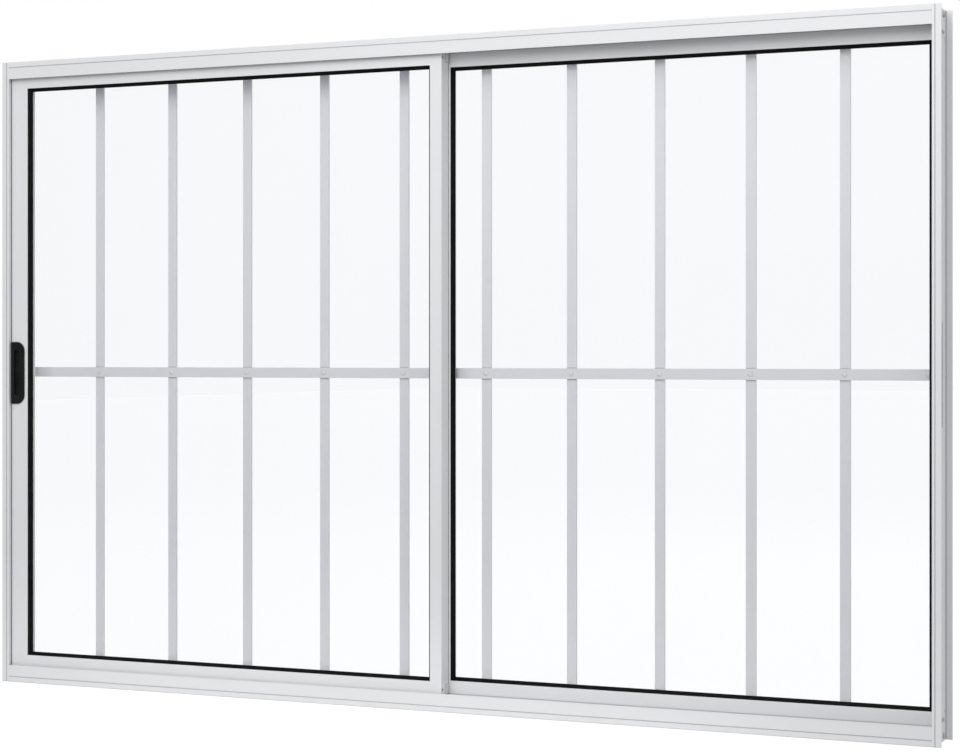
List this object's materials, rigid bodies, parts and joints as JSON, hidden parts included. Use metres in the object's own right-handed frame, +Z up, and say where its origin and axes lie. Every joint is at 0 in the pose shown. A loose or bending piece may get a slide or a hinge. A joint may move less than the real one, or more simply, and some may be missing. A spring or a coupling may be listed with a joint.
{
  "type": "sliding window with security grille",
  "caption": "Horizontal sliding window in a coated aluminium frame with a built-in security grille of riveted flat bars, grooved rollers and a recessed hook latch.",
  "frame": {"origin": "bottom centre of the frame: the middle of its width and depth, at the underside of the sill", "axes": "+X from the latch side to the fixed leaf's side, as seen from inside the room; +Y from the room to the outside; +Z up"},
  "size_m": [1.5, 0.07, 0.984],
  "materials": {
    "white_coating": "satin white coating on extruded aluminium",
    "grille_coating": "satin light grey coating on flat aluminium bar",
    "clear_glass": "clear float glass",
    "black_rubber": "matte black extruded rubber",
    "zinc_steel": "zinc-plated steel",
    "pile_brush": "grey brush pile",
    "white_nylon": "moulded natural nylon",
    "black_latch_plastic": "fine-grained black moulded plastic"
  },
  "bodies": {
    "frame": {"head_track": "white_coating", "sill_track": "white_coating", "left_jamb": "white_coating", "right_jamb": "white_coating", "corner_seal_pads": "black_rubber", "frame_corner_screws": "zinc_steel", "wall_anchor_straps": "zinc_steel", "strap_rivets": "zinc_steel", "head_pile": "pile_brush", "sill_pile": "pile_brush", "bump_stops": "black_rubber", "latch_keeper": "zinc_steel", "keeper_screws": "zinc_steel", "fixed_top_rail": "white_coating", "fixed_bottom_rail": "white_coating", "fixed_meeting_stile": "white_coating", "fixed_side_channel": "white_coating", "fixed_glass": "clear_glass", "fixed_gaskets": "black_rubber", "fixed_setting_blocks": "black_rubber", "fixed_leaf_screws": "zinc_steel", "fixed_leaf_packers": "white_nylon", "interlock_pile": "pile_brush", "vertical_bar_01": "grille_coating", "vertical_bar_02": "grille_coating", "vertical_bar_03": "grille_coating", "vertical_bar_04": "grille_coating", "vertical_bar_05": "grille_coating", "vertical_bar_06": "grille_coating", "vertical_bar_07": "grille_coating", "vertical_bar_08": "grille_coating", "vertical_bar_09": "grille_coating", "vertical_bar_10": "grille_coating", "tie_bar": "grille_coating", "tie_bar_brackets": "grille_coating", "bar_rivets": "grille_coating", "bar_end_rivets": "grille_coating"},
    "sliding_sash": {"sash_top_rail": "white_coating", "sash_bottom_rail": "white_coating", "sash_latch_stile": "white_coating", "sash_meeting_stile": "white_coating", "sash_glass": "clear_glass", "sash_gaskets": "black_rubber", "sash_setting_blocks": "black_rubber", "sash_corner_screws": "zinc_steel", "sash_top_guides": "white_nylon", "sash_stile_caps": "white_nylon", "roller_housings": "white_nylon", "roller_axles": "zinc_steel", "latch_housing": "black_latch_plastic", "latch_screws": "black_latch_plastic", "latch_pivot_pin": "zinc_steel"},
    "roller_left": {"roller_wheel_left": "white_nylon"},
    "roller_right": {"roller_wheel_right": "white_nylon"},
    "latch_slide_tab": {"latch_slider": "black_latch_plastic"},
    "hook": {"latch_hook": "zinc_steel"}
  },
  "joints": [
    {"name": "sash_slide", "type": "slide", "parent": "frame", "child": "sliding_sash", "axis": [1, 0, 0], "range_m": [0, 0.7135]},
    {"name": "roller_left_spin", "type": "hinge", "parent": "sliding_sash", "child": "roller_left", "pos_m": [-0.663, -0.0155, 0.0241], "axis": [0, 1, 0], "continuous": true},
    {"name": "roller_right_spin", "type": "hinge", "parent": "sliding_sash", "child": "roller_right", "pos_m": [-0.0577, -0.0155, 0.0241], "axis": [0, 1, 0], "continuous": true},
    {"name": "latch_slide", "type": "slide", "parent": "sliding_sash", "child": "latch_slide_tab", "axis": [0, 0, 1], "range_m": [0, 0.009]},
    {"name": "hook_turn", "type": "hinge", "parent": "sliding_sash", "child": "hook", "pos_m": [-0.725, -0.0168, 0.4905], "axis": [0, 1, 0], "range_deg": [0, 68]}
  ],
  "couplings": [
    {"joint": "roller_left_spin", "follows": "sash_slide", "rad_per_m": 153.85},
    {"joint": "roller_right_spin", "follows": "sash_slide", "rad_per_m": 153.85},
    {"joint": "hook_turn", "follows": "latch_slide", "rad_per_m": 131.86}
  ]
}
